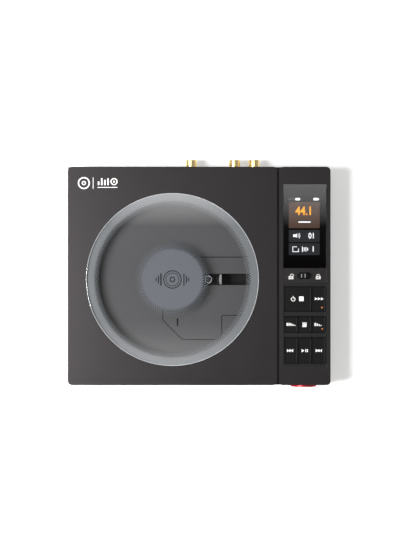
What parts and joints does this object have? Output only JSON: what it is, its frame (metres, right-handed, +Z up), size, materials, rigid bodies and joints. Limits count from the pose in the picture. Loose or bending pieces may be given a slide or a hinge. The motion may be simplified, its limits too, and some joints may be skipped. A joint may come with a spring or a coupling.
{
  "type": "portable disc player",
  "caption": "Flat aluminium disc player with a rear-hinged lid and round window over the disc well, a control strip of keys and a display, a front volume knob and rear phono sockets.",
  "frame": {"origin": "centre of the bounding box at the underside of the rubber feet", "axes": "+X to the right along the width, +Y from the front to the rear sockets, +Z up"},
  "size_m": [0.184, 0.1604, 0.0302],
  "materials": {
    "battery_film": "shrink film",
    "black_aluminium": "bead-blasted, anodised near black",
    "black_plastic": "satin moulded",
    "button_plastic": "soft-touch satin",
    "circuit_board": "solder mask",
    "clear_glass": "polished, with a frosted printed ring",
    "deck_plastic": "fine textured",
    "display_glass": "polished black",
    "gold": "gold plated",
    "lens_plastic": "coated",
    "red_aluminium": "anodised dark red",
    "rubber": "matt",
    "steel": "brushed",
    "white_plastic": "natural acetal"
  },
  "bodies": {
    "case": {"chassis": "black_aluminium", "bottom_cover": "black_plastic", "case_screws": "steel", "rubber_feet": "rubber", "disc_deck": "deck_plastic", "mechanism_cover": "deck_plastic", "hinge_fairing": "black_aluminium", "hinge_pins": "steel", "main_board": "circuit_board", "battery_pack": "battery_film", "headphone_board": "circuit_board", "coaxial_socket": "gold", "line_out_sockets": "gold", "socket_insulators": "white_plastic", "usb_socket": "steel", "small_headphone_socket": "black_plastic", "large_headphone_socket": "black_plastic", "control_cover": "black_aluminium", "button_bezel": "black_plastic", "display_glass": "display_glass", "display_module": "black_plastic", "control_board": "circuit_board", "tact_switches": "black_plastic", "hold_switch_body": "black_plastic", "volume_encoder": "steel", "traverse_frame": "steel", "traverse_dampers": "rubber", "traverse_screws": "steel", "spindle_motor": "steel", "guide_rods": "steel", "sled_motor": "steel", "latch_magnets": "steel", "lid_bumpers": "rubber", "lid_switch_body": "black_plastic"},
    "lid": {"lid_frame": "black_aluminium", "lid_glass": "clear_glass", "glass_gasket": "rubber", "hinge_arms": "steel", "hinge_arm_screws": "steel", "lid_magnets": "steel"},
    "disc_drive": {"turntable": "black_plastic", "turntable_mat": "rubber", "spindle_shaft": "steel"},
    "sled": {"pickup_body": "black_plastic", "pickup_rack": "white_plastic"},
    "lens": {"lens_holder": "black_plastic", "objective_lens": "lens_plastic"},
    "gear": {"drive_gear": "white_plastic"},
    "pinion": {"motor_pinion": "gold"},
    "slider": {"hold_slider": "black_plastic"},
    "knob": {"volume_knob": "red_aluminium"},
    "plunger": {"lid_switch_plunger": "white_plastic"},
    "power_button": {"power_button": "button_plastic"},
    "boost_button": {"boost_button": "button_plastic"},
    "filter_button": {"filter_button": "button_plastic"},
    "menu_button": {"menu_button": "button_plastic"},
    "bass_button": {"bass_button": "button_plastic"},
    "previous_button": {"previous_button": "button_plastic"},
    "play_button": {"play_button": "button_plastic"},
    "next_button": {"next_button": "button_plastic"}
  },
  "joints": [
    {"name": "lid_hinge", "type": "hinge", "parent": "case", "child": "lid", "pos_m": [-0.01875, 0.0716, 0.022], "axis": [-1, 0, 0], "range_deg": [0, 70]},
    {"name": "disc_spin", "type": "hinge", "parent": "case", "child": "disc_drive", "pos_m": [-0.01875, -0.0044, 0.022], "axis": [0, 0, 1], "continuous": true},
    {"name": "sled_slide", "type": "slide", "parent": "case", "child": "sled", "axis": [1, 0, 0], "range_m": [0, 0.0328]},
    {"name": "lens_focus", "type": "slide", "parent": "sled", "child": "lens", "axis": [0, 0, 1], "range_m": [-0.0005, 0.0005], "stiffness_N_per_m": 60},
    {"name": "drive_gear_spin", "type": "hinge", "parent": "case", "child": "gear", "pos_m": [0.01525, -0.028, 0.015], "axis": [0, 0, 1], "range_deg": [-525, 5]},
    {"name": "motor_pinion_spin", "type": "hinge", "parent": "case", "child": "pinion", "pos_m": [0.00397, -0.0321, 0.011], "axis": [0, 0, 1], "range_deg": [-10, 1575]},
    {"name": "hold_slide", "type": "slide", "parent": "case", "child": "slider", "axis": [1, 0, 0], "range_m": [0, 0.002]},
    {"name": "volume_spin", "type": "hinge", "parent": "case", "child": "knob", "pos_m": [0.07395, -0.0784, 0.014], "axis": [0, -1, 0], "continuous": true},
    {"name": "lid_switch_slide", "type": "slide", "parent": "case", "child": "plunger", "axis": [0, 0, 1], "range_m": [0, 0.001]},
    {"name": "power_button_press", "type": "slide", "parent": "case", "child": "power_button", "axis": [0, 0, -1], "range_m": [0, 0.0005], "stiffness_N_per_m": 400, "springref_m": -0.0005},
    {"name": "boost_button_press", "type": "slide", "parent": "case", "child": "boost_button", "axis": [0, 0, -1], "range_m": [0, 0.0005], "stiffness_N_per_m": 400, "springref_m": -0.0005},
    {"name": "filter_button_press", "type": "slide", "parent": "case", "child": "filter_button", "axis": [0, 0, -1], "range_m": [0, 0.0005], "stiffness_N_per_m": 400, "springref_m": -0.0005},
    {"name": "menu_button_press", "type": "slide", "parent": "case", "child": "menu_button", "axis": [0, 0, -1], "range_m": [0, 0.0005], "stiffness_N_per_m": 400, "springref_m": -0.0005},
    {"name": "bass_button_press", "type": "slide", "parent": "case", "child": "bass_button", "axis": [0, 0, -1], "range_m": [0, 0.0005], "stiffness_N_per_m": 400, "springref_m": -0.0005},
    {"name": "previous_button_press", "type": "slide", "parent": "case", "child": "previous_button", "axis": [0, 0, -1], "range_m": [0, 0.0005], "stiffness_N_per_m": 400, "springref_m": -0.0005},
    {"name": "play_button_press", "type": "slide", "parent": "case", "child": "play_button", "axis": [0, 0, -1], "range_m": [0, 0.0005], "stiffness_N_per_m": 400, "springref_m": -0.0005},
    {"name": "next_button_press", "type": "slide", "parent": "case", "child": "next_button", "axis": [0, 0, -1], "range_m": [0, 0.0005], "stiffness_N_per_m": 400, "springref_m": -0.0005}
  ],
  "couplings": [
    {"joint": "drive_gear_spin", "follows": "sled_slide", "rad_per_m": -277.78},
    {"joint": "motor_pinion_spin", "follows": "sled_slide", "rad_per_m": 833.33},
    {"joint": "lid_switch_slide", "follows": "lid_hinge", "m_per_rad": 0.0008184}
  ]
}
